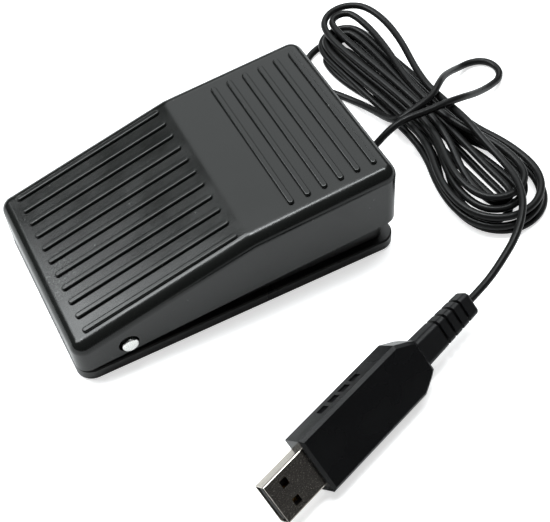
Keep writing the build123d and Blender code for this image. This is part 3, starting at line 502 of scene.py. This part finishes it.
def with_wear(tree, clean_colour, patches):
    """A colour with pale specks anywhere, and dust on the level faces of the low end."""
    cells = add_node(tree, "ShaderNodeTexVoronoi", {
        "Vector": object_space(tree, speck_cell_mm), "Scale": 1.0})
    dot = add_node(tree, "ShaderNodeMath", {
        0: cells.outputs["Distance"], 1: speck_reach}, operation="LESS_THAN")
    chance = add_node(tree, "ShaderNodeSeparateColor", {"Color": cells.outputs["Color"]})
    rare = add_node(tree, "ShaderNodeMath", {
        0: chance.outputs[0], 1: speck_share}, operation="LESS_THAN")
    rare_dot = add_node(tree, "ShaderNodeMath", {
        0: dot.outputs[0], 1: rare.outputs[0]}, operation="MULTIPLY")
    speck = add_node(tree, "ShaderNodeMath", {
        0: rare_dot.outputs[0], 1: speck_strength}, operation="MULTIPLY")

    place = add_node(tree, "ShaderNodeSeparateXYZ", {"Vector": object_space(tree, 1.0)})
    low_end = add_node(tree, "ShaderNodeMapRange", {
        "Value": place.outputs["Y"], "From Min": dust_full_y, "From Max": dust_gone_y,
        "To Min": 1.0, "To Max": 0.0})
    geometry = add_node(tree, "ShaderNodeNewGeometry")
    normal = add_node(tree, "ShaderNodeSeparateXYZ", {"Vector": geometry.outputs["Normal"]})
    upward = add_node(tree, "ShaderNodeMapRange", {
        "Value": normal.outputs["Z"], "From Min": facing_up[0], "From Max": facing_up[1]})
    patchy = add_node(tree, "ShaderNodeMapRange", {
        "Value": patches.outputs["Fac"],
        "From Min": dusty_patches[0], "From Max": dusty_patches[1]})
    grit = add_node(tree, "ShaderNodeTexNoise", {
        "Vector": object_space(tree, dust_mm), "Scale": 1.0, "Detail": 2.0})
    dust = add_node(tree, "ShaderNodeMapRange", {
        "Value": grit.outputs["Fac"], "From Min": dust_range[0], "From Max": dust_range[1],
        "To Min": 0.0, "To Max": dust_strength})
    for mask in (low_end, upward, patchy):
        dust = add_node(tree, "ShaderNodeMath", {
            0: dust.outputs[0], 1: mask.outputs[0]}, operation="MULTIPLY")

    pale = add_node(tree, "ShaderNodeMath", {
        0: speck.outputs[0], 1: dust.outputs[0]}, operation="MAXIMUM")
    dusty = add_node(tree, "ShaderNodeMix", {
        mix_factor: pale.outputs[0], mix_first: clean_colour, mix_second: srgb("#8c8c88")},
        data_type="RGBA")
    return dusty.outputs[mixed_colour]


print("specks in cells of", speck_cell_mm, "mm, dust in grains of", dust_mm, "mm")


# %% [markdown]
# ## Moulded plastic
#
# Nearly every piece is moulded, and a moulded face copies the fine spark-eroded grain of its
# mould. The grain scatters the highlights a little, and handling leaves a slightly uneven shine.
# A Principled shader with a plastic's usual index of 1.5 is right for it: the grain is a bump of
# noise, and a broader noise moves the roughness and the colour. One function makes them all, and
# what sets one plastic apart from the next is its colour, its shine and the depth of its grain.

# %% One function for plastics
# Real mould grain is below a tenth of a millimetre. The sizes given to this function are several
# times coarser, so that it shows. The patches of shine are about as wide as a fingertip.
patch_mm, uneven_shine = 14.0, 0.06
# Noise seldom leaves this part of its range.
noise_low, noise_high = 0.3, 0.7
plastic_index = 1.5
print("plastics have an index of", plastic_index, "and patches of shine of", patch_mm, "mm")


def moulded_plastic(name, colours, rough, grain_mm, grain_depth_mm, shine_level=0.36, worn=False):
    """Moulded plastic: fine grain in its bump, uneven shine and colour, and wear if it is worn."""
    material, tree, output = new_material(name)
    grain = add_node(tree, "ShaderNodeTexNoise", {
        "Vector": object_space(tree, grain_mm), "Scale": 1.0, "Detail": 3.0})
    bump = add_node(tree, "ShaderNodeBump", {
        "Height": grain.outputs["Fac"], "Strength": 1.0, "Distance": grain_depth_mm / 1000})
    patches = add_node(tree, "ShaderNodeTexNoise", {
        "Vector": object_space(tree, patch_mm), "Scale": 1.0, "Detail": 4.0})
    shine = add_node(tree, "ShaderNodeMapRange", {
        "Value": patches.outputs["Fac"], "From Min": noise_low, "From Max": noise_high,
        "To Min": rough - uneven_shine, "To Max": rough + uneven_shine})
    two_tone = add_node(tree, "ShaderNodeMix", {
        mix_factor: patches.outputs["Fac"],
        mix_first: srgb(colours[0]), mix_second: srgb(colours[1])}, data_type="RGBA")
    colour = two_tone.outputs[mixed_colour]
    if worn:
        colour = with_wear(tree, colour, patches)
    shader = add_node(tree, "ShaderNodeBsdfPrincipled", {
        "Base Color": colour, "Roughness": shine.outputs[0], "Normal": bump.outputs[0],
        "IOR": plastic_index, "Specular IOR Level": shine_level})
    tree.links.new(shader.outputs[0], output.inputs["Surface"])
    return material


def finish_with(material, *names):
    """Puts one material on CAD nodes, or on pieces of this scene."""
    for name in names:
        piece = nodes[name] if name in nodes else bpy.data.objects[name]
        if piece.material_slots:
            for slot in piece.material_slots:
                slot.material = material
        else:
            piece.data.materials.append(material)
    print(material.name, "on", ", ".join(names))


# %% [markdown]
# ## Pedal and base
#
# The pedal and its base are ABS, a tough plastic that comes out of the mould with a satin shine.
# The pedal is polished by shoes, so it mirrors the lamps in soft-edged bands. The base is never
# touched, so it is duller, and it is painted a greyer black: painted light that stands in for the
# floor's reflection on its flange.

# %% Satin ABS
# Nearly black, with long soft highlights, and the only plastic that shows specks and dust.
pedal_abs = moulded_plastic(
    "satin black ABS", ("#151615", "#121312"), rough=0.21,
    grain_mm=0.35, grain_depth_mm=0.012, shine_level=0.34, worn=True)
finish_with(pedal_abs, "pedal_cover")
# A greyer black, painted lighter to stand in for the floor's reflection on the flange, whose
# wider highlights keep the base apart from the pedal's shadow.
base_abs_painted_lighter = moulded_plastic(
    "black ABS of the base", ("#282727", "#222121"), rough=0.3,
    grain_mm=0.4, grain_depth_mm=0.015)
finish_with(base_abs_painted_lighter, "base_tray", "cord_clamp")


# %% [markdown]
# ## Plug and its boot
#
# The plug's two halves are ABS of a deeper black than the pedal's, so its wide face is nearly
# without light. The boot that keeps the cord from kinking is soft PVC moulded over it. Softer
# plastic takes a duller surface, and its ribs catch only broad, weak lights.

# %% Deep black plug
# A flat, deep black face between thin lit edges.
plug_abs = moulded_plastic(
    "black ABS of the plug", ("#101011", "#0d0d0e"), rough=0.28,
    grain_mm=0.3, grain_depth_mm=0.015, shine_level=0.22)
finish_with(plug_abs, "plug_housing_upper", "plug_housing_lower")
# Dull and soft, with a light along each rib.
boot_pvc = moulded_plastic(
    "black PVC of the boot", ("#111112", "#0e0e0f"), rough=0.4,
    grain_mm=0.35, grain_depth_mm=0.02, shine_level=0.22)
finish_with(boot_pvc, "plug_boot", "cord_grommet")


# %% [markdown]
# ## Pieces out of sight
#
# The switch, its leads, the plug's board and the feet show only when the object is opened or turned
# over, but each still has what such a piece is made of. Lacquer and fired ceramic take the same
# function as the plastics, because they too are smooth and not metallic. Their colours tell them
# apart.

# %% Switch, leads, feet and board
# Brownish and almost matt, as a resin case filled with mineral is.
switch_phenolic = moulded_plastic(
    "black phenolic", ("#26221f", "#1f1c1a"), rough=0.5, grain_mm=0.25, grain_depth_mm=0.02)
finish_with(switch_phenolic, "switch_case", "switch_cover", "plug_controller")
# Matt, with no clear highlight at all.
feet_rubber = moulded_plastic(
    "soft black rubber", ("#1d1d1d", "#171717"), rough=0.75, grain_mm=0.5, grain_depth_mm=0.03)
finish_with(feet_rubber, "rubber_feet")
# A clear red that is easy to find, on the button and on one lead.
red_plastic = moulded_plastic(
    "red acetal", ("#a8231c", "#991d17"), rough=0.4, grain_mm=0.3, grain_depth_mm=0.01)
finish_with(red_plastic, "switch_plunger", "lead_open")
# Off-white, so that the other lead is told from the red one.
white_plastic = moulded_plastic(
    "white PVC of a lead", ("#e6e6e1", "#dcdcd6"), rough=0.4, grain_mm=0.3, grain_depth_mm=0.01)
finish_with(white_plastic, "lead_common")
# Black, so that the windows of the plug's shell look dark.
tongue_nylon = moulded_plastic(
    "black nylon", ("#161616", "#121212"), rough=0.45, grain_mm=0.3, grain_depth_mm=0.01)
finish_with(tongue_nylon, "usb_tongue")
# The sandy brown of fired chips.
tan_ceramic = moulded_plastic(
    "tan ceramic", ("#8d7352", "#7d6547"), rough=0.4, grain_mm=0.2, grain_depth_mm=0.01)
finish_with(tan_ceramic, "plug_capacitors")
# Dark green under a clear, fairly glossy lacquer.
solder_mask = moulded_plastic(
    "green solder mask", ("#1f6a3a", "#1a5c32"), rough=0.3, grain_mm=0.3, grain_depth_mm=0.008)
finish_with(solder_mask, "plug_board")


# %% [markdown]
# ## Cord jacket
#
# The cord's jacket is soft PVC: black, a little shiny, and slightly wavy along its length from
# having been wound. It needs its own finish because its highlights run along it as thin lines.

# %% Soft PVC
# Its bump is wider than grain: it is the waviness of a wound jacket, which breaks up the lines.
cord_pvc = moulded_plastic(
    "soft black PVC", ("#161616", "#111111"), rough=0.32,
    grain_mm=0.9, grain_depth_mm=0.03, shine_level=0.16)
finish_with(cord_pvc, "signal_cord", "cord_tail")


# %% [markdown]
# ## Worked metals
#
# Every metal piece here is fully metallic, and what sets them apart from a mirror is a fine
# scatter: rolling marks along sheet, drawing marks on wire and turning marks round a pin. A noise
# that is stretched one way gives such lines, and it moves both the bump and the roughness. A
# picture of scratches could do the same, but it would repeat, and it would need a file.

# %% One function for metals
# The lines left by rolls and tools are a few hundredths of a millimetre wide. They too are drawn
# coarser than that, so that they show.
smoother, duller = 0.06, 0.08
print("metals vary in roughness by", smoother, "down and", duller, "up")


def worked_metal(name, colour, rough, line_mm, stretch, depth_mm):
    """Bare or plated metal with fine lines left by how it was worked."""
    material, tree, output = new_material(name)
    lines = add_node(tree, "ShaderNodeTexNoise", {
        "Vector": object_space(tree, line_mm, stretch), "Scale": 1.0, "Detail": 2.0})
    bump = add_node(tree, "ShaderNodeBump", {
        "Height": lines.outputs["Fac"], "Distance": depth_mm / 1000})
    shine = add_node(tree, "ShaderNodeMapRange", {
        "Value": lines.outputs["Fac"], "From Min": noise_low, "From Max": noise_high,
        "To Min": rough - smoother, "To Max": rough + duller})
    shader = add_node(tree, "ShaderNodeBsdfPrincipled", {
        "Base Color": srgb(colour), "Metallic": 1.0,
        "Roughness": shine.outputs[0], "Normal": bump.outputs[0]})
    tree.links.new(shader.outputs[0], output.inputs["Surface"])
    return material


# %% [markdown]
# ## Steel
#
# The plug's shell is sheet steel with bright nickel plating, folded to a sleeve. The hinge pin is
# a turned rod, and its end shows as a bright disc in the pedal's side. The return coil is drawn
# wire, darker because it is left bare.

# %% Plated, turned and drawn steel
# Warm and bright, with reflections that are blurred a little along the sleeve.
nickel = worked_metal(
    "nickel-plated sheet steel", "#c8c1b8", rough=0.2,
    line_mm=0.12, stretch=(1, 8, 1), depth_mm=0.0006)
finish_with(nickel, "usb_shell", "plug_crystal", "switch_screws", "clamp_screws")
# Nearly white, and soft enough to look like a plain bright disc.
turned_steel = worked_metal(
    "zinc-plated turned steel", "#e9e9e6", rough=0.26,
    line_mm=0.25, stretch=(1, 1, 1), depth_mm=0.01)
finish_with(turned_steel, "hinge_pin", "lever_pin", "switch_lever")
# Grey, with dull lights that follow the turns of the wire.
spring_steel = worked_metal(
    "drawn spring wire", "#8f9296", rough=0.35,
    line_mm=0.3, stretch=(1, 1, 1), depth_mm=0.01)
finish_with(spring_steel, "return_coil")


# %% [markdown]
# ## Brass and gold
#
# The switch's terminals and its blade are stamped brass strip. The plug's contacts are gold-plated,
# because gold does not tarnish. A metal's colour is its mirror colour, so yellow alone sets both
# apart from the steel.

# %% Stamped brass and gold plating
# Yellow and a little dull.
brass = worked_metal(
    "stamped brass", "#c6a15a", rough=0.32, line_mm=0.3, stretch=(1, 1, 4), depth_mm=0.008)
finish_with(brass, "common_terminal", "open_terminal", "closed_terminal", "snap_blade")
# Deeper yellow, and brighter.
gold = worked_metal(
    "gold-plated contact", "#d9b264", rough=0.2, line_mm=0.3, stretch=(1, 4, 1), depth_mm=0.004)
finish_with(gold, "usb_contacts", "plug_wires")
